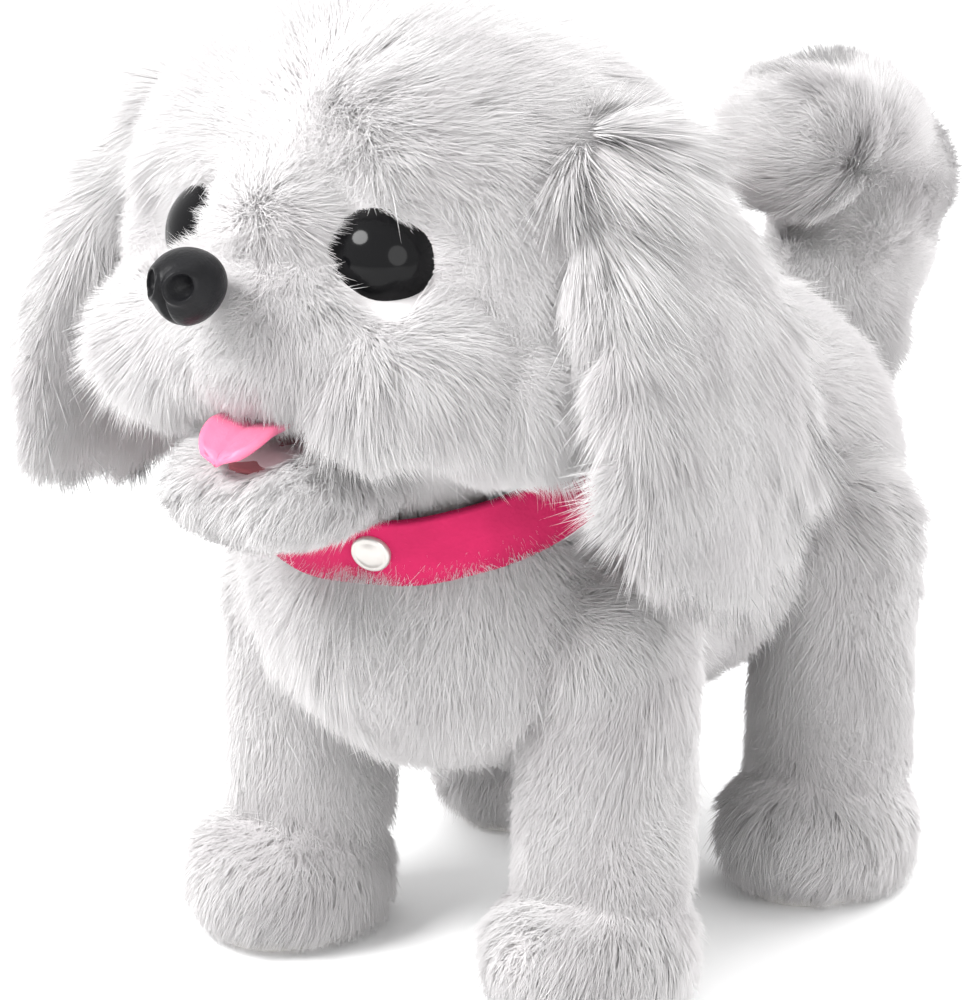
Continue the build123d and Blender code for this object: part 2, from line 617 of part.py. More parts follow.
with BuildPart() as neck_pin:
    rod((-13.8, *NECK_PIVOT), (13.8, *NECK_PIVOT), PIN_R)
save(neck_pin, "neck_pin")

with BuildPart() as neck_post:
    block((-6, 6), (NECK_PIVOT[0] - 4, NECK_PIVOT[0] + 4), (104, NECK_PIVOT[1]))
    rod((-6, *NECK_PIVOT), (6, *NECK_PIVOT), 4)
    block((-9, 9), (NECK_PIVOT[0], NECK_PIVOT[0] + 14), (104, 106))
    rod((-7, *NECK_PIVOT), (7, *NECK_PIVOT), PIN_R + FIT, Mode.SUBTRACT)
save(neck_post, "neck_post")

# ---------------------------------------------------------------- jaw

jaw_axis = Axis((0, *JAW_PIVOT), (1, 0, 0))


def opened(builder):
    """Turns a piece of the jaw from shut to open."""
    builder.part = builder.part.rotate(jaw_axis, JAW_OPEN)


with BuildPart() as jaw_plush:
    with BuildSketch(Plane.XY.offset(JAW_BOTTOM)):
        with Locations((0, JAW_Y)):
            Ellipse(JAW_HALF_WIDTH, JAW_HALF_LENGTH)
    extrude(amount=JAW_TOP - JAW_BOTTOM)
    fillet(jaw_plush.edges().group_by(Axis.Z)[0], 7)
    block((-30, 30), (-69, -50), (90, 120), Mode.SUBTRACT)
    block((-12.8, 12.8), (-104.4, -60), (107.6, 110.4), Mode.SUBTRACT)
opened(jaw_plush)
save(jaw_plush, "jaw_plush")

with BuildPart() as jaw_plate:
    block((-12.4, 12.4), (-104, -67), (108, 110))
    for side in SIDES.values():
        block((side * 8, side * 12.4), (-69, JAW_PIVOT[0]), (108, JAW_PIVOT[1]))
        across(side, *JAW_PIVOT, 8, 12.4, 3.2)
    rod((-13, *JAW_PIVOT), (13, *JAW_PIVOT), AXLE_R + FIT, Mode.SUBTRACT)
opened(jaw_plate)
save(jaw_plate, "jaw_plate")

with BuildPart() as jaw_pin:
    rod((-19.6, *JAW_PIVOT), (19.6, *JAW_PIVOT), AXLE_R)
save(jaw_pin, "jaw_pin")

with BuildPart() as tongue:
    with BuildSketch(Plane.XY.offset(JAW_TOP + 0.1)):
        with Locations((0, -97)):
            SlotOverall(38, 15, rotation=90)
    extrude(amount=2.4)
    fillet(tongue.edges().group_by(Axis.Z)[-1], 1)
opened(tongue)
save(tongue, "tongue")

# ---------------------------------------------------------------- ears

for name, side in SIDES.items():
    slab = Plane(
        origin=(side * (seam_x + 0.8), EAR_Y, seam_z - 0.8),
        x_dir=(0, 1, 0),
        z_dir=(side * cos(flare), 0, sin(flare)),
    )
    down = -1 if slab.y_dir.Z > 0 else 1
    with BuildPart() as ear:
        with BuildSketch(slab):
            with Locations((0, down * EAR_DROP)):
                Ellipse(EAR_HALF_WIDTH, EAR_HALF_LENGTH)
        extrude(amount=EAR_THICK)
        fillet(ear.faces().sort_by(Axis(slab.origin, slab.z_dir))[-1].edges(), 4.5)
        with BuildSketch(slab):
            with Locations((0, -down * 20)):
                Rectangle(100, 40)
        extrude(amount=EAR_THICK, mode=Mode.SUBTRACT)
    save(ear, f"ear_{name}")

# ---------------------------------------------------------------- tail

with BuildPart() as tail_plush:
    egg((0, 92.5, 106), 39, 17.5, (0, 0, 1))
    egg((0, 84, 138), 24, 18, (0, 1, 0))
    egg((0, 102.5, 126), 24, 20, (0, 0, 1))
    block((-60, 60), (40, 140), (40, TAIL_Z0), Mode.SUBTRACT)
    rod((0, TAIL_PIN_Y, 60), (0, TAIL_PIN_Y, 116), TAIL_ROOT_R, Mode.SUBTRACT)
    block((-3.4, 3.4), (60, 94), (80, TAIL_ARM[1] + GAP), Mode.SUBTRACT)
    rod((0, 90, 80), (0, 90, 130.4), 4.4, Mode.SUBTRACT)
save(tail_plush, "tail_plush")

with BuildPart() as tail_lever:
    rod((0, TAIL_PIN_Y, 80.4), (0, TAIL_PIN_Y, 89.6), 4.6)
    block((-3, 3), (TAIL_PIN_Y, 93), TAIL_ARM)
    rod((0, 90, TAIL_ARM[0]), (0, 90, 130), 4)
    rod((0, TAIL_PIN_Y, 80), (0, TAIL_PIN_Y, 90), PIN_R + FIT, Mode.SUBTRACT)
save(tail_lever, "tail_lever")

with BuildPart() as tail_bracket:
    block((-7, 7), (54, 56), (76, 94))
    for z0, z1 in ((76, 80), (90, 94)):
        block((-7, 7), (55, TAIL_PIN_Y), (z0, z1))
        rod((0, TAIL_PIN_Y, z0), (0, TAIL_PIN_Y, z1), 5)
    rod((0, TAIL_PIN_Y, 75), (0, TAIL_PIN_Y, 95), PIN_R + 0.02, Mode.SUBTRACT)
save(tail_bracket, "tail_bracket")

with BuildPart() as tail_pin:
    rod((0, TAIL_PIN_Y, 76), (0, TAIL_PIN_Y, 94), PIN_R)
    rod((0, TAIL_PIN_Y, 94), (0, TAIL_PIN_Y, 95), 2.6)
save(tail_pin, "tail_pin")
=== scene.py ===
import json
import math

import bmesh
import bpy
import numpy as np
from mathutils import Euler, Matrix, Vector, kdtree


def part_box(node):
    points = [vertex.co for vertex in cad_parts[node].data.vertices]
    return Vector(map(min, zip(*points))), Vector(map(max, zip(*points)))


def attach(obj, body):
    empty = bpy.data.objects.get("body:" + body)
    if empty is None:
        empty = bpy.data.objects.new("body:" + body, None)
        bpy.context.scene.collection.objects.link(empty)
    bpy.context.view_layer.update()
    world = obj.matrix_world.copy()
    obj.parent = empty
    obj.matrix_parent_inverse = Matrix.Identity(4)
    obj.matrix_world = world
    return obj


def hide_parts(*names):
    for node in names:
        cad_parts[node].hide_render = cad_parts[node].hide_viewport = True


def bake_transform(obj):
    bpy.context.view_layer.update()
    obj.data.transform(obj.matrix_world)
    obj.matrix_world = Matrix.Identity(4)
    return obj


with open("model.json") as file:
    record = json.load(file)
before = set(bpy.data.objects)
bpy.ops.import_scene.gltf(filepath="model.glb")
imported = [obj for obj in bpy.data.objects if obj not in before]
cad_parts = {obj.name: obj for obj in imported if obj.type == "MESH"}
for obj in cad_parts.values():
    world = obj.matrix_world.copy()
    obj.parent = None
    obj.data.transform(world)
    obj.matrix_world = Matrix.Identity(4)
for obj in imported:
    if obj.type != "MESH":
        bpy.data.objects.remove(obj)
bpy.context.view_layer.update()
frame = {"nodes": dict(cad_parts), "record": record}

MM = 0.001
SIDES = {"left": 1, "right": -1}


# ------------------------------------------------------------ materials


GRAIN_DEPTH = 0.0004


def new_material(name):
    """An empty node material, its nodes and its links."""
    m = bpy.data.materials.new(name)
    m.use_nodes = True
    m.node_tree.nodes.clear()
    return m, m.node_tree.nodes, m.node_tree.links


def two_stops(n, low, low_colour, high, high_colour):
    """A colour ramp between two colours, each at its place."""
    ramp = n.new("ShaderNodeValToRGB")
    for stop, place, colour in zip(ramp.color_ramp.elements, (low, high), (low_colour, high_colour)):
        stop.position = place
        stop.color = [*colour, 1]
    return ramp


def plain(name, base, rough, metallic=0.0, coat=0.0, sheen=0.0, gloss=0.5,
          vary=0.06, scale=90.0, bump=0.0, bump_scale=900.0):
    """A surface with a faint mottled colour, and a fine grain where bump is given."""
    m, n, k = new_material(name)
    out = n.new("ShaderNodeOutputMaterial")
    p = n.new("ShaderNodeBsdfPrincipled")
    p.inputs["Roughness"].default_value = rough
    p.inputs["Metallic"].default_value = metallic
    p.inputs["Coat Weight"].default_value = coat
    p.inputs["Sheen Weight"].default_value = sheen
    p.inputs["Specular IOR Level"].default_value = gloss
    where = n.new("ShaderNodeTexCoord")
    noise = n.new("ShaderNodeTexNoise")
    noise.inputs["Scale"].default_value = scale
    noise.inputs["Detail"].default_value = 3
    ramp = two_stops(n, 0.3, [c * (1 - vary) for c in base], 0.7, [min(1, c * (1 + vary)) for c in base])
    k.new(where.outputs["Object"], noise.inputs["Vector"])
    k.new(noise.outputs["Fac"], ramp.inputs["Fac"])
    k.new(ramp.outputs["Color"], p.inputs["Base Color"])
    if bump:
        grain = n.new("ShaderNodeTexNoise")
        grain.inputs["Scale"].default_value = bump_scale
        grain.inputs["Detail"].default_value = 4
        b = n.new("ShaderNodeBump")
        b.inputs["Strength"].default_value = bump
        b.inputs["Distance"].default_value = GRAIN_DEPTH
        k.new(where.outputs["Object"], grain.inputs["Vector"])
        k.new(grain.outputs["Fac"], b.inputs["Height"])
        k.new(b.outputs["Normal"], p.inputs["Normal"])
    k.new(p.outputs["BSDF"], out.inputs["Surface"])
    return m


WHITE = (1, 1, 1)
DULL_HAIR = (0.965, 0.96, 0.955)
# Grey of the painted shade patches: shade where fur clumps part, painted into the pile colour
SHADED_PATCH = (0.9, 0.89, 0.895)


def fur_material(name, root, tip, through):
    """Pile painted darker at its roots and on its backing, as painted shade deep in the pile: V of the map
    runs along a hair, and U is different for each.
    """
    m, n, k = new_material(name)
    out = n.new("ShaderNodeOutputMaterial")
    p = n.new("ShaderNodeBsdfPrincipled")
    p.inputs["Roughness"].default_value = 0.72
    p.inputs["Sheen Weight"].default_value = 0.25
    p.inputs["Sheen Roughness"].default_value = 0.6
    p.inputs["Specular IOR Level"].default_value = 0.25
    uv = n.new("ShaderNodeUVMap")
    uv.uv_map = "OFBake"
    parts = n.new("ShaderNodeSeparateXYZ")
    along = two_stops(n, 0.0, root, 0.55, tip)
    noise = n.new("ShaderNodeTexNoise")
    noise.noise_dimensions = "1D"
    noise.inputs["Scale"].default_value = 23
    noise.inputs["Detail"].default_value = 5
    each = two_stops(n, 0.3, DULL_HAIR, 0.62, WHITE)
    where = n.new("ShaderNodeTexCoord")
    # Large grey patches on object coordinates multiply the pile colour: painted shade of parted fur clumps
    shade_patch_noise = n.new("ShaderNodeTexNoise")
    shade_patch_noise.inputs["Scale"].default_value = 60
    shade_patch_noise.inputs["Detail"].default_value = 4
    painted_shade_ramp = two_stops(n, 0.34, SHADED_PATCH, 0.56, WHITE)
    mix, blend = n.new("ShaderNodeMix"), n.new("ShaderNodeMix")
    for multiply in (mix, blend):
        multiply.data_type = "RGBA"
        multiply.blend_type = "MULTIPLY"
        multiply.inputs[0].default_value = 1.0
    back = n.new("ShaderNodeBsdfTranslucent")
    back.inputs["Color"].default_value = list(tip) + [1]
    both = n.new("ShaderNodeMixShader")
    both.inputs["Fac"].default_value = through
    k.new(uv.outputs["UV"], parts.inputs["Vector"])
    k.new(parts.outputs["Y"], along.inputs["Fac"])
    k.new(parts.outputs["X"], noise.inputs["W"])
    k.new(noise.outputs["Fac"], each.inputs["Fac"])
    k.new(along.outputs["Color"], mix.inputs[6])
    k.new(each.outputs["Color"], mix.inputs[7])
    k.new(where.outputs["Object"], shade_patch_noise.inputs["Vector"])
    k.new(shade_patch_noise.outputs["Fac"], painted_shade_ramp.inputs["Fac"])
    k.new(mix.outputs[2], blend.inputs[6])
    k.new(painted_shade_ramp.outputs["Color"], blend.inputs[7])
    k.new(blend.outputs[2], p.inputs["Base Color"])
    k.new(p.outputs["BSDF"], both.inputs[1])
    k.new(back.outputs["BSDF"], both.inputs[2])
    k.new(both.outputs["Shader"], out.inputs["Surface"])
    return m


LIGHT_THROUGH = 0.42
# The first colour, at the hair roots and on the backing, is darker: painted shade deep in the pile.
FUR = fur_material("white_plush", (0.93, 0.905, 0.91), (0.98, 0.964, 0.968), LIGHT_THROUGH)
SHORT_FUR = fur_material("white_short_plush", (0.93, 0.905, 0.908), (0.98, 0.963, 0.966), LIGHT_THROUGH)

RECORD = {m["slot"]: m for m in frame["record"]["materials"]}
LOOKS = {
    "brushed_steel": dict(rough=0.32, metallic=1.0),
    "chrome": dict(rough=0.12, metallic=1.0),
    "painted_metal": dict(rough=0.35, coat=0.4),
    "rubber": dict(rough=0.75),
    "matte_plastic": dict(rough=0.5),
    "gloss_plastic": dict(rough=0.12, coat=0.5),
    "fabric": dict(rough=0.85, sheen=0.3),
}
CAD_LOOK = {
    slot: plain("cad_" + slot, row["base_color"][:3], **LOOKS.get(row["class"], dict(rough=0.5)))
    for slot, row in RECORD.items()
}
for part in frame["record"]["subparts"]:
    node = frame["nodes"].get(part["node"])
    if node is not None:
        node.data.materials.clear()
        node.data.materials.append(CAD_LOOK[part["material_slot"]])

# ------------------------------------------------------------ mesh tools


def placed(name, data):
    """A new object with this data, in the scene."""
    o = bpy.data.objects.new(name, data)
    bpy.context.collection.objects.link(o)
    return o


def declare(o, body, replaced=()):
    """Says which body a rigid piece rides on, and the CAD nodes it stands for."""
    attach(o, body)
    if replaced:
        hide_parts(*replaced)


def mesh_object(name, verts, tris, material, uv=None, normals=None):
    """A smooth triangle mesh as an object: one uv and one normal to a vertex, where they are given."""
    me = bpy.data.meshes.new(name)
    me.vertices.add(len(verts))
    me.vertices.foreach_set("co", np.asarray(verts, np.float32).ravel())
    me.loops.add(len(tris) * 3)
    me.loops.foreach_set("vertex_index", np.asarray(tris, np.int32).ravel())
    me.polygons.add(len(tris))
    me.polygons.foreach_set("loop_start", np.arange(len(tris), dtype=np.int32) * 3)
    me.polygons.foreach_set("use_smooth", np.ones(len(tris), bool))
    if uv is not None:
        layer = me.uv_layers.new(name="OFBake")
        layer.data.foreach_set("uv", np.asarray(uv, np.float32)[np.asarray(tris).ravel()].ravel())
    me.update(calc_edges=True)
    me.materials.append(material)
    if normals is not None:
        me.normals_split_custom_set_from_vertices(np.asarray(normals, np.float32))
    return placed(name, me)


SMOOTHINGS = 10


def skin(blobs, voxel=1.8):
    """One smooth closed surface round a group of ellipsoids: (centre, radii, turn in degrees)."""
    bm = bmesh.new()
    for centre, radii, *turn in blobs:
        turn = Euler([math.radians(a) for a in (turn[0] if turn else (0, 0, 0))])
        place = Matrix.Translation(Vector(centre) * MM) @ turn.to_matrix().to_4x4()
        stretch = Matrix.Diagonal((*[r * MM for r in radii], 1))
        bmesh.ops.create_icosphere(bm, subdivisions=4, radius=1, matrix=place @ stretch)
    me = bpy.data.meshes.new("blobs")
    bm.to_mesh(me)
    bm.free()
    o = placed("blobs", me)
    remesh = o.modifiers.new("remesh", "REMESH")
    remesh.mode = "VOXEL"
    remesh.voxel_size = voxel * MM
    relax = o.modifiers.new("relax", "SMOOTH")
    relax.factor = 0.5
    relax.iterations = SMOOTHINGS
    done = o.evaluated_get(bpy.context.evaluated_depsgraph_get())
    got = done.to_mesh()
    got.calc_loop_triangles()
    verts = np.empty(len(got.vertices) * 3)
    got.vertices.foreach_get("co", verts)
    norms = np.empty(len(got.vertices) * 3)
    got.vertices.foreach_get("normal", norms)
    tris = np.empty(len(got.loop_triangles) * 3, np.int32)
    got.loop_triangles.foreach_get("vertices", tris)
    done.to_mesh_clear()
    bpy.data.objects.remove(o)
    bpy.data.meshes.remove(me)
    return verts.reshape(-1, 3), tris.reshape(-1, 3), norms.reshape(-1, 3)


def unit(a):
    return a / np.maximum(np.linalg.norm(a, axis=-1, keepdims=True), 1e-9)


WAVES = 5


def wander(p, wavelength, seed):
    """A smooth random direction at each point."""
    r = np.random.default_rng(seed)
    total = np.zeros_like(p)
    for _ in range(WAVES):
        k = unit(r.normal(size=3)) * 2 * np.pi / wavelength * r.uniform(0.6, 1.6)
        total += np.sin(p @ k + r.uniform(0, 6.28))[:, None] * r.normal(size=3)
    return total / WAVES**0.5


# A hair runs straight from its root to its tip: RISE and SWEEP say how far the tip goes, in hair
# lengths, along the surface normal and along the comb.
RISE, SWEEP = 0.62, 0.97
HAIR_TURNS = (90, 210, 330)
CURL_WAVE = 0.022
FLOOR_GAP = 0.0005


def fur(name, surface, count, length, comb, body, replaced, material, seed, *, width, lift,
        clump, clump_size, fuzz, keep=None):
    """A stuffed, furry piece: its backing and every hair, as one mesh.

    length and comb give a hair's length in millimetres and its lie at a root, and keep the chance
    that a hair grows there. clump is how far hairs lean to the guide hair nearest their root.
    """
    r = np.random.default_rng(seed)
    verts, tris, norms = surface
    a, b, c = (verts[tris[:, i]] for i in range(3))
    area = np.linalg.norm(np.cross(b - a, c - a), axis=1)
    pick = r.choice(len(tris), size=count, p=area / area.sum())
    w = r.dirichlet((1, 1, 1), size=count)
    root = (w[:, :, None] * verts[tris[pick]]).sum(1)
    n = unit((w[:, :, None] * norms[tris[pick]]).sum(1))
    if keep is not None:
        stay = r.random(count) < np.clip(keep(root, n), 0, 1)
        root, n = root[stay], n[stay]
    count = len(root)

    def tip_of(p, n, long, jitter):
        """The tips of hairs of these lengths, rooted at p."""
        lie = comb(p, n)
        lie = lie - (lie * n).sum(1, keepdims=True) * n
        size = np.linalg.norm(lie, axis=1, keepdims=True)
        lie = lie / np.maximum(size, 1e-6) * np.clip(size, 0, 1)
        t = lie + wander(p, CURL_WAVE, seed + 1) * 0.3 + jitter
        t = t - (t * n).sum(1, keepdims=True) * n
        return p + long[:, None] * (n * lift * RISE + t * SWEEP)

    long = length(root) * MM * r.uniform(0.75, 1.2, count)
    tip = tip_of(root, n, long, r.normal(size=(count, 3)) * fuzz)

    heads = max(8, int(area.sum() / 2 / (clump_size * MM) ** 2))
    chosen = r.choice(count, size=min(heads, count), replace=False)
    tree = kdtree.KDTree(len(chosen))
    for i, j in enumerate(chosen):
        tree.insert(root[j], i)
    tree.balance()
    mine = np.array([tree.find(p)[1] for p in root])
    guide_long = length(root[chosen]) * MM * r.uniform(0.9, 1.25, len(chosen))
    guide_jitter = r.normal(size=(len(chosen), 3)) * fuzz * 0.8
    guide = tip_of(root[chosen], n[chosen], guide_long, guide_jitter)
    pull = (clump * r.uniform(0.5, 1.2, count))[:, None]
    tip = tip * (1 - pull) + guide[mine] * pull
    shade = r.random(len(chosen))[mine] * 0.7 + r.random(count) * 0.3

    along = unit(tip - root)
    side = unit(np.cross(along, n + 1e-4))
    up = np.cross(side, along)
    thick = width * MM / 2 * r.uniform(0.7, 1.3, count)
    soft = unit(n * 0.75 + np.array([0, 0, 0.1]))
    hair_v, hair_n = [], []
    for turn in HAIR_TURNS:
        d = math.cos(math.radians(turn)) * side + math.sin(math.radians(turn)) * up
        hair_v.append(root + d * thick[:, None])
        hair_n.append(unit(soft + d * 0.28))
    hair_v = np.stack([*hair_v, tip], 1)
    hair_n = np.stack([*hair_n, unit(soft + along * 0.15)], 1)
    hair_v[..., 2] = np.maximum(hair_v[..., 2], FLOOR_GAP)
    pattern = np.array([(3, (j + 1) % 3, j) for j in range(3)])
    hair_t = (pattern[None] + (np.arange(count) * 4)[:, None, None]).reshape(-1, 3)

    u = 0.01 + 0.97 * shade
    root_uv = [np.stack([u + 0.004 * j, np.full(count, 0.06)], 1) for j in range(3)]
    tip_uv = np.stack([u + 0.004, np.full(count, 0.98)], 1)
    hair_uv = np.stack([*root_uv, tip_uv], 1)
    # The backing maps to the root end of the ramp and takes its darker colour: painted shade under the
    # pile.
    base_uv = np.stack([0.02 + 0.9 * (verts[:, 0] - verts[:, 0].min()) / np.ptp(verts[:, 0]),
                        0.01 + 0.04 * (verts[:, 2] - verts[:, 2].min()) / np.ptp(verts[:, 2])], 1)
    o = mesh_object(
        name,
        np.concatenate([verts, hair_v.reshape(-1, 3)]),
        np.concatenate([tris, hair_t + len(verts)]),
        material,
        np.concatenate([base_uv, hair_uv.reshape(-1, 2)]),
        np.concatenate([norms, hair_n.reshape(-1, 3)]),
    )
    if isinstance(body, str):
        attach(o, body)
    else:
        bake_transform(o)
    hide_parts(*replaced)
    return o


def away(point, p):
    """The direction from a point in millimetres to each p."""
    return unit(p - np.asarray(point, float) * MM)


def near(point, p, radius):
    """1 at a point, falling to 0 at a distance in millimetres."""
    d = np.linalg.norm(p - np.asarray(point, float) * MM, axis=1) / MM
    return np.clip(1 - d / radius, 0, 1)[:, None]


DOWN = np.array([0, 0, -1.0])
REAR = np.array([0, 1.0, 0])

# ------------------------------------------------------------ head

NOSE_SETBACK = 7.2
nose_low, nose_high = np.array(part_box("nose")) / MM
NOSE = np.array([0, nose_low[1] + NOSE_SETBACK, (nose_low[2] + nose_high[2]) / 2])
EYES = {name: np.array([side * 17.4, -86.0, 144.2]) for name, side in SIDES.items()}
YAW = math.radians(33)
GAZE = {name: np.array([side * math.sin(YAW), -math.cos(YAW), 0]) for name, side in SIDES.items()}
EYE_CLEARING, NOSE_CLEARING = 8.2, 6.6
CHEEK_Y = -62


def head_comb(p, n):
    d = away(NOSE + np.array([0, -4, 2]), p) * 0.55
    d = d + DOWN * 0.4 + wander(p, 0.016, 5) * 0.22
    top = np.clip((p[:, 2:3] / MM - 150) / 25, 0, 1)
    d = d + top * (np.sign(p[:, 0:1]) * np.array([0.7, 0, 0]) + REAR * 0.5 + DOWN * 0.4)
    for e in EYES.values():
        d = d + near(e, p, 14) * away(e, p) * 0.7
    return d


def head_length(p):
    q = p / MM
    d_nose = np.linalg.norm(q - NOSE, axis=1)
    long = 5.5 + 4.5 * np.clip((d_nose - 8) / 30, 0, 1)
    for e in EYES.values():
        d = np.linalg.norm(q - e, axis=1)
        long = np.where(d < 17, np.minimum(long, 3.8 + 0.45 * np.maximum(d - 8, 0)), long)
    return long - 4.0 * np.clip((121 - q[:, 2]) / 11, 0, 1)


def head_keep(p, n):
    q = p / MM
    k = np.ones(len(p))
    for name, e in EYES.items():
        rel = q - e
        along = rel @ GAZE[name]
        off = np.linalg.norm(rel - along[:, None] * GAZE[name], axis=1)
        k = np.where((off < EYE_CLEARING) & (along > -9), 0, k)
    d = np.linalg.norm((q - NOSE) * np.array([1, 0.55, 1]), axis=1)
    k = np.where(d < NOSE_CLEARING, 0, k)
    mouth = (np.abs(q[:, 0]) < 15) & (q[:, 2] < 117) & (q[:, 1] < -84) & (n[:, 2] < -0.35)
    k = np.where(mouth, 0.0, k)
    inside = (q[:, 2] < 106) & (n[:, 2] < -0.75)
    return np.where(inside, 0.15, k)


head_skin = skin([
    ((0, -52, 137.5), (53.5, 39, 41.5)),
    ((0, -59, 153), (45, 33, 26.5)),
    ((0, -88, 133), (24, 18, 15.5)),
    ((19, -83, 127), (18.5, 18.5, 14)),
    ((-19, -83, 127), (18.5, 18.5, 14)),
    ((31, -68, 122), (19, 18, 15.5)),
    ((-31, -68, 122), (19, 18, 15.5)),
    ((0, -96, 135), (12, 10, 11)),
    ((0, -90, 147), (11.5, 11, 12)),
    ((0, -46, 113), (33, 35, 14), (21, 0, 0)),
])


def number(full):
    return int(full * (1.0))


def split(surface, test):
    """The part of a surface where test is true for a triangle's middle."""
    verts, tris, norms = surface
    m = verts[tris].mean(1) / MM
    chosen = tris[test(m)]
    used = np.unique(chosen)
    index = np.full(len(verts), -1)
    index[used] = np.arange(len(used))
    return verts[used], index[chosen], norms[used]


fur("head_face_plush", split(head_skin, lambda q: q[:, 1] < CHEEK_Y), number(210000),
    head_length, head_comb, "head", ["head_plush"], FUR, 11,
    width=0.24, keep=head_keep, clump_size=3.4, clump=0.4, lift=0.86, fuzz=0.36)
fur("head_crown_plush", split(head_skin, lambda q: q[:, 1] >= CHEEK_Y), number(190000),
    head_length, head_comb, "head", ["head_plush"], FUR, 12,
    width=0.25, keep=head_keep, clump_size=3.6, clump=0.4, lift=0.82, fuzz=0.36)

jaw_skin = skin([
    ((0, -86, 104), (17, 20.5, 7.4), (9, 0, 0)),
    ((6, -95, 104), (11.5, 12.5, 7.0), (9, 0, 0)),
    ((-6, -95, 104), (11.5, 12.5, 7.0), (9, 0, 0)),
    ((0, -95, 102.5), (12, 12, 7)),
], voxel=1.2)
JAW_HAIR = 5.2


def jaw_comb(p, n):
    return away((0, -70, 112), p) * 0.8 + DOWN * 0.5


def jaw_keep(p, n):
    q = p / MM
    under_tongue = np.hypot(q[:, 0] / 11, (q[:, 1] + 84) / 20) < 0.95
    return np.where((n[:, 2] > 0.6) & under_tongue, 0, 1.0)


fur("jaw_plush_fur", jaw_skin, number(42000), lambda p: np.full(len(p), JAW_HAIR),
    jaw_comb, "jaw", ["jaw_plush"], FUR, 13,
    width=0.24, keep=jaw_keep, clump_size=3.2, clump=0.4, lift=0.8, fuzz=0.4)

# ------------------------------------------------------------ ears


EAR_BLOBS = 7
EAR_TOP_X, EAR_TOP_Z = 44.5, 154
# side: (flare in degrees, how far the ear swings out, how far it hangs); the far ear flares more
EARS = {"left": (11, 19, 46.5), "right": (18, 23.5, 48)}


def ear_comb_for(side):
    def comb(p, n):
        q = p / MM
        top = np.clip((q[:, 2] - 138) / 16, 0, 1)
        fan = np.stack([side * (0.12 + 1.6 * top), (q[:, 1] + 57) / 60, np.zeros(len(q))], 1)
        return DOWN * 1.0 + fan * np.array([0.55, 0.25, 0])
    return comb


def ear_length(p):
    return 12.0 - 2.0 * np.clip((100 - p[:, 2] / MM) / 15, 0, 1)


for name, side in SIDES.items():
    flare, swing, hang = EARS[name]
    blobs = []
    for i in range(EAR_BLOBS):
        t = i / (EAR_BLOBS - 1)
        wide = 10 + 14 * math.sin(math.pi * (0.06 + 0.54 * t))
        x = EAR_TOP_X + swing * (1 - (1 - t) ** 2)
        centre = (side * x, -57.5 + 1.5 * t, EAR_TOP_Z - hang * t)
        blobs.append((centre, (5 + 3 * (1 - t), wide, 12.5), (0, -side * flare, 0)))
    fur(f"ear_{name}_plush", skin(blobs, voxel=1.5), number(150000),
        ear_length, ear_comb_for(side), f"{name}_ear", [f"ear_{name}"], FUR, 21 + side,
        width=0.25, clump=0.45, clump_size=3.6, lift=0.6, fuzz=0.32)

# ------------------------------------------------------------ torso

torso_skin = skin([
    ((0, -40, 79), (35.5, 35, 35)),
    ((0, -14, 78), (35, 38, 35)),
    ((0, 12, 78), (35, 38, 35)),
    ((0, 38, 78), (35.5, 42, 35.5)),
])


def torso_comb(p, n):
    q = p / MM
    back = REAR * np.clip((q[:, 1:2] + 70) / 40, 0, 1)
    return back * 0.7 + DOWN * 0.75


COLLAR_SLOPE = 0.384


def torso_keep(p, n):
    """Sparse hair above the collar's plane, where the head covers the torso."""
    q = p / MM
    above = (q[:, 2] - 93.5) - (q[:, 1] + 85) * COLLAR_SLOPE
    return np.where(above > -3, 0.1, 1.0)


def torso_length(p):
    q = p / MM
    return 9.8 + 1.2 * np.clip((-q[:, 1] - 30) / 30, 0, 1)


for name, test, count, seed in (
    ("torso_chest_plush", lambda q: q[:, 1] < 0, 120000, 31),
    ("torso_rump_plush", lambda q: q[:, 1] >= 0, 115000, 32),
):
    fur(name, split(torso_skin, test), number(count),
        torso_length, torso_comb, "torso", ["torso_plush"], SHORT_FUR, seed,
        width=0.28, keep=torso_keep, clump=0.42, clump_size=3.4, lift=0.72, fuzz=0.42)

# ------------------------------------------------------------ legs

LEG_Y = {"front": -42.0, "hind": 37.0}
LEG_X = 34
HIP_TOP, HIP_LOW = 0.080, 0.056
SOLE_GAP = 0.0008

for place, y in LEG_Y.items():
    for name, side in SIDES.items():
        toe = y - 5
        blobs = [((side * 32.5, y, 71), (13.5, 16.5, 15))]
        for z in range(66, 24, -4):
            blobs.append(((side * LEG_X, y - (66 - z) / 30, z), (13.4, 14.2, 11)))
        blobs.append(((side * 35, toe - 1.5, 13), (16.5, 20.5, 13.5)))
        blobs.append(((side * 35, toe, 7.5), (16, 19.5, 9.5)))
        surface = skin(blobs, voxel=1.6)
        surface[0][:, 2] = np.maximum(surface[0][:, 2], SOLE_GAP)

        def leg_comb(p, n):
            q = p / MM
            hip = np.clip((q[:, 2:3] - 72) / 10, 0, 1)
            paw = np.clip((30 - q[:, 2:3]) / 8, 0, 1) * np.clip((q[:, 2:3] - 6) / 6, 0, 1)
            return DOWN + hip * np.array([side * 0.9, 0.3, 0]) + paw * np.array([side * 0.15, -0.6, 0])

        def leg_keep(p, n):
            q = p / MM
            return np.where((q[:, 2] < 4) & (n[:, 2] < -0.9), 0.0, 1.0)

        def leg_length(p):
            return 7.6 - 2.2 * np.clip((30 - p[:, 2] / MM) / 12, 0, 1)

        body = f"{place}_{name}_leg"
        across = ("torso", body, (side * 0.033, y * MM, HIP_TOP), (side * 0.034, y * MM, HIP_LOW))
        fur(f"{place}_{name}_leg_plush", surface, number(60000),
            leg_length, leg_comb, across, [f"{place}_{name}_plush"], SHORT_FUR, 141 + side + int(y),
            width=0.28, clump=0.42, clump_size=3.2, lift=0.74, fuzz=0.42, keep=leg_keep)

# ------------------------------------------------------------ tail

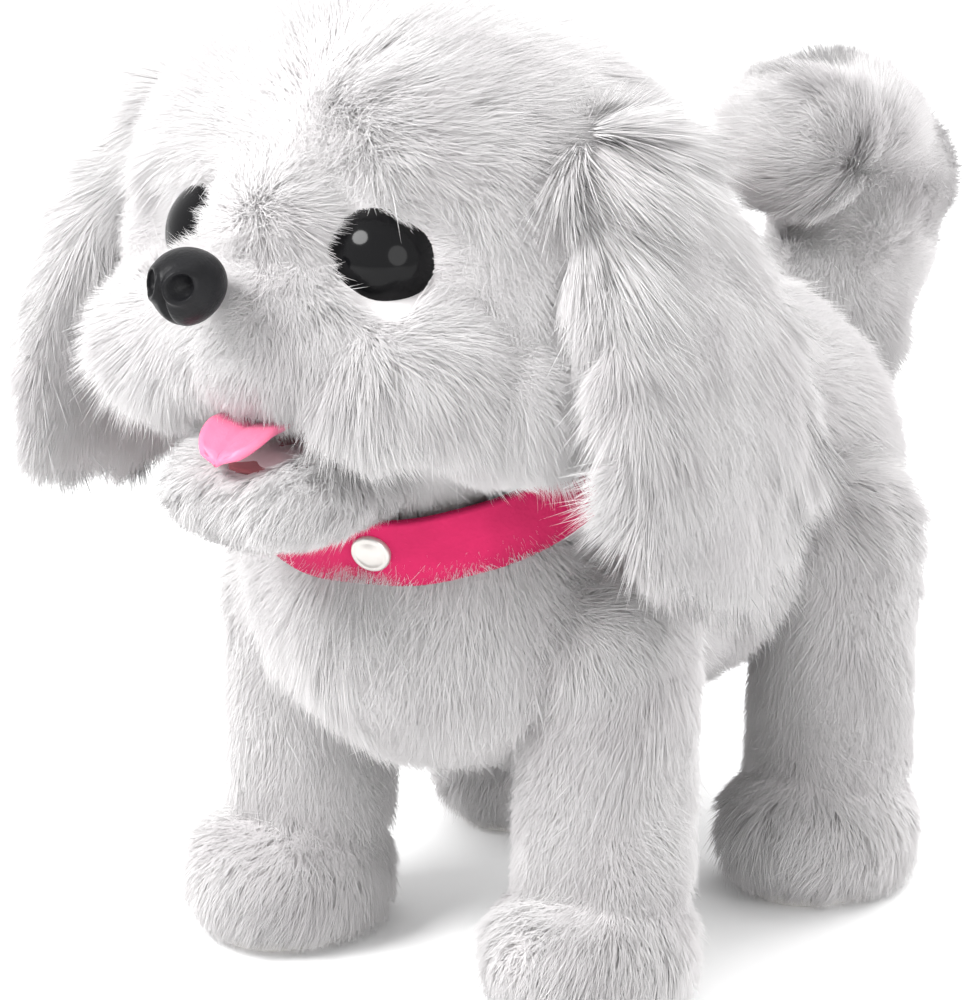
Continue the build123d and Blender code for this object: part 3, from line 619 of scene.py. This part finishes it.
TAIL_HAIR = 9.5
tail_skin = skin([
    ((0, 88, 92), (10, 10, 12)),
    ((0, 91, 104), (11.5, 12, 20)),
    ((0, 97, 116), (13, 14, 17)),
    ((0, 101, 127), (14, 14, 15)),
    ((0, 92, 137), (13.5, 16, 12)),
    ((0, 80, 138), (13, 14, 11.5)),
])


def tail_comb(p, n):
    q = p / MM
    d = away((0, 91, 124), p) * 0.5
    up = np.clip((q[:, 2:3] - 95) / 20, 0, 1)
    return d + up * np.array([0, -0.25, 0.1]) + wander(p, 0.03, 77) * 0.5


fur("tail_pom_plush", tail_skin, number(150000), lambda p: np.full(len(p), TAIL_HAIR),
    tail_comb, "tail", ["tail_plush"], FUR, 51,
    width=0.25, clump=0.4, clump_size=3.6, lift=0.85, fuzz=0.36)

# ------------------------------------------------------------ eyes


def lathe(name, profile, origin, direction, material, steps=64):
    """A turned shape: profile is (radius, height) in millimetres along a direction."""
    z = Vector(direction).normalized()
    turn = z.to_track_quat("Z", "Y").to_matrix()
    ang = np.linspace(0, 2 * np.pi, steps, endpoint=False)
    pts = []
    for rad, h in profile:
        for t in ang:
            pts.append(Vector(origin) * MM + turn @ Vector((rad * math.cos(t), rad * math.sin(t), h)) * MM)
    tris = []
    for i in range(len(profile) - 1):
        for j in range(steps):
            a, b = i * steps + j, i * steps + (j + 1) % steps
            tris += [(a, b, b + steps), (a, b + steps, a + steps)]
    top, low = len(pts), len(pts) + 1
    pts.append(Vector(origin) * MM + turn @ Vector((0, 0, profile[-1][1])) * MM)
    pts.append(Vector(origin) * MM + turn @ Vector((0, 0, profile[0][1])) * MM)
    last = (len(profile) - 1) * steps
    for j in range(steps):
        tris.append((last + j, last + (j + 1) % steps, top))
        tris.append(((j + 1) % steps, j, low))
    return mesh_object(name, np.array([list(p) for p in pts]), np.array(tris), material)


EYE_BLACK = plain("eye_black", (0.004, 0.004, 0.0045), 0.1, vary=0.3, scale=40, gloss=0.14)
EYE_R = 10.0
for name, side in SIDES.items():
    angles = [math.radians(a) for a in range(115, 1, -4)]
    dome = [(0.2, -5)] + [(EYE_R * math.sin(a), EYE_R * math.cos(a)) for a in angles]
    eye = lathe(f"eye_{name}_dome", dome, EYES[name], GAZE[name], EYE_BLACK)
    declare(eye, "head", [f"eye_{name}"])

# ------------------------------------------------------------ nose

NOSE_BLACK = plain("nose_black", (0.008, 0.008, 0.009), 0.34, vary=0.2, scale=300,
                   bump=0.25, bump_scale=1500, gloss=0.12)
NOSE_WIDE, NOSE_DEEP, NOSE_TALL = 6.3, 6.8, 6.5
NOSTRIL_X, NOSTRIL_Z, NOSTRIL_R = 3.1, 1.2, 1.9
rows, cols = 90, 120
lat = np.linspace(0.02, math.pi - 0.02, rows)[:, None]
lon = np.linspace(0, 2 * math.pi, cols, endpoint=False)[None, :]
nx = np.sin(lat) * np.cos(lon)
nz = np.sin(lat) * np.sin(lon)
ny = -np.cos(lat) * np.ones_like(lon)
wide = NOSE_WIDE * (1 + 0.18 * nz - 0.05 * nz**2)
px, py, pz = nx * wide, ny * NOSE_DEEP, nz * NOSE_TALL
face = np.clip(-ny, 0, 1)
for sx in (-1, 1):
    d = np.hypot(px - sx * NOSTRIL_X, (pz - NOSTRIL_Z) / 1.15)
    pit = np.clip(1 - d / NOSTRIL_R, 0, 1) ** 0.6
    lip = np.exp(-((d - 2.3) / 0.5) ** 2)
    py = py + face * (3.4 * pit - 0.7 * lip)
groove = np.exp(-(px / 0.55) ** 2) * np.clip((1.5 - pz) / 3, 0, 1)
py = py + face * groove * 1.0
folds = np.exp(-((np.abs(px) - 4.9) / 0.6) ** 2) * np.clip((0.5 - pz) / 3, 0, 1)
py = py + face * folds * 0.5
pts = np.stack([px + NOSE[0], py + NOSE[1], pz + NOSE[2]], -1).reshape(-1, 3) * MM
tris = []
for i in range(rows - 1):
    for j in range(cols):
        a, b = i * cols + j, i * cols + (j + 1) % cols
        tris += [(a, b + cols, b), (a, a + cols, b + cols)]
first, last = len(pts), len(pts) + 1
pts = np.concatenate([pts, [pts[:cols].mean(0)], [pts[-cols:].mean(0)]])
for j in range(cols):
    tris.append((first, j, (j + 1) % cols))
    tris.append((last, (rows - 1) * cols + (j + 1) % cols, (rows - 1) * cols + j))
nose = mesh_object("nose_button", pts, np.array(tris), NOSE_BLACK)
declare(nose, "head", ["nose"])

# ------------------------------------------------------------ tongue and mouth

SATIN = plain("tongue_satin", (0.66, 0.15, 0.26), 0.42, gloss=0.3, vary=0.08, scale=60,
              bump=0.35, bump_scale=700)
# Dark pink-brown lining cloth: its dark colour is partly the lining's own and partly painted shade inside
# the mouth.
SHADED_LINING = plain("mouth_lining_and_shade", (0.3, 0.09, 0.1), 0.8, sheen=0.2, vary=0.12, scale=70)


def slab(name, top, thick, material, nu, nv):
    """A closed sheet: top maps (u, v) to a point in millimetres, and the back is thick behind it."""
    u, v = np.meshgrid(np.linspace(0, 1, nu), np.linspace(0, 1, nv), indexing="ij")
    face = top(u, v)
    du = np.gradient(face, axis=0)
    dv = np.gradient(face, axis=1)
    n = unit(np.cross(du, dv))
    edge = np.minimum(np.minimum(u, 1 - u) * nu, np.minimum(v, 1 - v) * nv)
    round_off = np.clip(edge / 1.5, 0.35, 1)[..., None]
    a = (face + n * thick / 2 * round_off).reshape(-1, 3)
    b = (face - n * thick / 2 * round_off).reshape(-1, 3)
    idx = np.arange(nu * nv).reshape(nu, nv)
    q = np.stack([idx[:-1, :-1], idx[1:, :-1], idx[1:, 1:], idx[:-1, 1:]], -1).reshape(-1, 4)
    tri = np.concatenate([q[:, [0, 1, 2]], q[:, [0, 2, 3]]])
    tri = np.concatenate([tri, tri[:, ::-1] + nu * nv])
    rim = np.concatenate([idx[:, 0], idx[-1, 1:], idx[-2::-1, -1], idx[0, -2:0:-1]])
    nxt = np.roll(rim, -1)
    m = nu * nv
    side = np.concatenate([np.stack([nxt, rim, rim + m], 1), np.stack([nxt, rim + m, nxt + m], 1)])
    return mesh_object(name, np.concatenate([a, b]) * MM, np.concatenate([tri, side]), material)


def tongue_top(u, v):
    x = (v - 0.5) * 2
    y = -80 - 30 * u
    half = 7.2 * np.sqrt(np.clip(1 - np.clip((u - 0.72) / 0.29, 0, 1) ** 2.4, 0.02, 1))
    droop = 2.6 * u**2 + 5.0 * np.clip(u - 0.75, 0, 1) ** 1.2 * 3
    crease = 0.5 * np.exp(-((x / 0.16) ** 2))
    z = 116.6 - droop + 1.1 * x**2 - crease
    return np.stack([x * half, y, z], -1)


TONGUE_THICK, LINING_THICK = 1.8, 1.2
tongue = slab("tongue_satin_flap", tongue_top, TONGUE_THICK, SATIN, 48, 28)
declare(tongue, "jaw", ["tongue"])


def lining_top(u, v):
    x = (v - 0.5) * 2
    y = -70 - 33 * u
    half = 14 * np.sqrt(np.clip(1 - (u - 0.15) ** 2 * 0.8, 0.05, 1))
    z = 112.6 - 4.6 * u**1.3 + 1.0 * x**2
    return np.stack([x * half, y, z], -1)


# The lining sheet shows as a thin dark line beside the tongue: partly real cloth, partly painted shade of
# the mouth's inside.
lining = slab("mouth_lining_cloth", lining_top, LINING_THICK, SHADED_LINING, 40, 30)
declare(lining, "jaw")

# ------------------------------------------------------------ collar

FELT = plain("collar_felt", (0.40, 0.014, 0.075), 0.8, gloss=0.12, vary=0.1, scale=120,
             bump=0.5, bump_scale=1100)
TILT = math.radians(21)
COLLAR = np.array([0, -43, 103.3])
COLLAR_RX, COLLAR_RY = 36.2, 39.2
HALF_THICK, HALF_WIDE, BEVEL = 1.0, 6.7, 0.7
COLLAR_STEPS, BEVEL_STEPS = 220, 4
ex = np.array([1, 0, 0.0])
ey = np.array([0, math.cos(TILT), math.sin(TILT)])
ez = np.array([0, -math.sin(TILT), math.cos(TILT)])


def collar_at(angle, out, up):
    """A point on the collar: angle from the front towards the puppy's left."""
    a, b = COLLAR_RX + out, COLLAR_RY + out
    return COLLAR + ex * a * math.sin(angle) - ey * b * math.cos(angle) + ez * up


section = []
for i, (cx, cy) in enumerate(((1, 1), (-1, 1), (-1, -1), (1, -1))):
    for k in range(BEVEL_STEPS + 1):
        t = math.radians(90 * (i + k / BEVEL_STEPS))
        section.append((cx * (HALF_THICK - BEVEL) + BEVEL * math.cos(t),
                        cy * (HALF_WIDE - BEVEL) + BEVEL * math.sin(t)))
pts, tris = [], []
for i in range(COLLAR_STEPS):
    t = 2 * math.pi * i / COLLAR_STEPS
    wave = 0.35 * math.sin(5 * t + 1) + 0.2 * math.sin(11 * t)
    for out, rise in section:
        pts.append(collar_at(t, out + 0.5 + 0.2 * wave, rise + wave))
m = len(section)
for i in range(COLLAR_STEPS):
    for j in range(m):
        a, b = i * m + j, i * m + (j + 1) % m
        c, d = ((i + 1) % COLLAR_STEPS) * m + j, ((i + 1) % COLLAR_STEPS) * m + (j + 1) % m
        tris += [(a, c, d), (a, d, b)]
band = mesh_object("collar_band", np.array(pts) * MM, np.array(tris), FELT)
declare(band, "torso", ["collar_strap"])

PEARL = plain("snap_pearl", (0.5, 0.48, 0.46), 0.3, metallic=0.6, gloss=0.3, vary=0.05, scale=300)
SNAP_ANGLE = math.radians(15)
SNAP_EDGE = [(3.5, -0.6), (3.6, 0.5), (3.45, 0.95), (3.1, 1.15), (2.8, 1.05)]
SNAP_DOME = [(2.5, 1.2), (2.0, 1.55), (1.3, 1.8), (0.6, 1.92), (0.15, 1.95)]
snap_at = collar_at(SNAP_ANGLE, 1.4, 1.0)
snap_out = unit(collar_at(SNAP_ANGLE, 10, 0) - collar_at(SNAP_ANGLE, 0, 0))
snap = lathe("collar_snap_cap", SNAP_EDGE + SNAP_DOME, snap_at, snap_out, PEARL, steps=48)
declare(snap, "torso", ["collar_snap"])

# ------------------------------------------------------------ stage, camera, light

FLOOR_RADIUS = 4.0
VIEW_AZIMUTH, VIEW_ELEVATION = math.radians(35), math.radians(15)
VIEW_DISTANCE, LENS = 0.720, 137.5
TARGET = np.array([0, -0.013, 0.092])
AIM_LEFT, AIM_DOWN = 0.0113, 0.0090
LAMP_TARGET = Vector((0, -0.01, 0.09))

bm = bmesh.new()
bmesh.ops.create_circle(bm, cap_ends=True, radius=FLOOR_RADIUS, segments=96)
me = bpy.data.meshes.new("floor")
bm.to_mesh(me)
bm.free()
me.materials.append(plain("floor_pale", (0.9, 0.9, 0.9), 0.85, vary=0.004, scale=4))
placed("floor", me)


def turned_to(place, point):
    """The rotation that points a camera or a lamp at a point."""
    return (Vector(point) - Vector(place)).to_track_quat("-Z", "Y").to_euler()


cam = placed("camera", bpy.data.cameras.new("camera"))
bpy.context.scene.camera = cam
back = np.array([
    math.sin(VIEW_AZIMUTH) * math.cos(VIEW_ELEVATION),
    -math.cos(VIEW_AZIMUTH) * math.cos(VIEW_ELEVATION),
    math.sin(VIEW_ELEVATION),
])
right = unit(np.cross(-back, [0, 0, 1.0]))
up = np.cross(right, -back)
cam.location = TARGET + back * VIEW_DISTANCE
cam.rotation_euler = turned_to(cam.location, TARGET - right * AIM_LEFT - up * AIM_DOWN)
cam.data.lens = LENS
cam.data.clip_start, cam.data.clip_end = 0.01, 20


def lamp(name, place, size, power):
    light = bpy.data.lights.new(name, "AREA")
    light.shape = "ELLIPSE"
    light.size, light.size_y = size
    light.energy = power
    o = placed(name, light)
    o.location = place
    o.rotation_euler = turned_to(place, LAMP_TARGET)


lamp("key", (-0.45, -1.0, 1.1), (0.8, 0.6), 27)
lamp("fill", (1.2, -0.6, 0.5), (0.9, 0.9), 7)
lamp("top", (0.0, 0.3, 1.5), (1.2, 1.2), 3)
lamp("rear", (0.3, 1.3, 0.8), (1.2, 0.9), 14)
world = bpy.data.worlds.new("world")
bpy.context.scene.world = world
world.use_nodes = True
sky = world.node_tree.nodes["Background"]
sky.inputs["Color"].default_value = (*WHITE, 1)
sky.inputs["Strength"].default_value = 1.3
bpy.context.scene.view_settings.view_transform = "Standard"
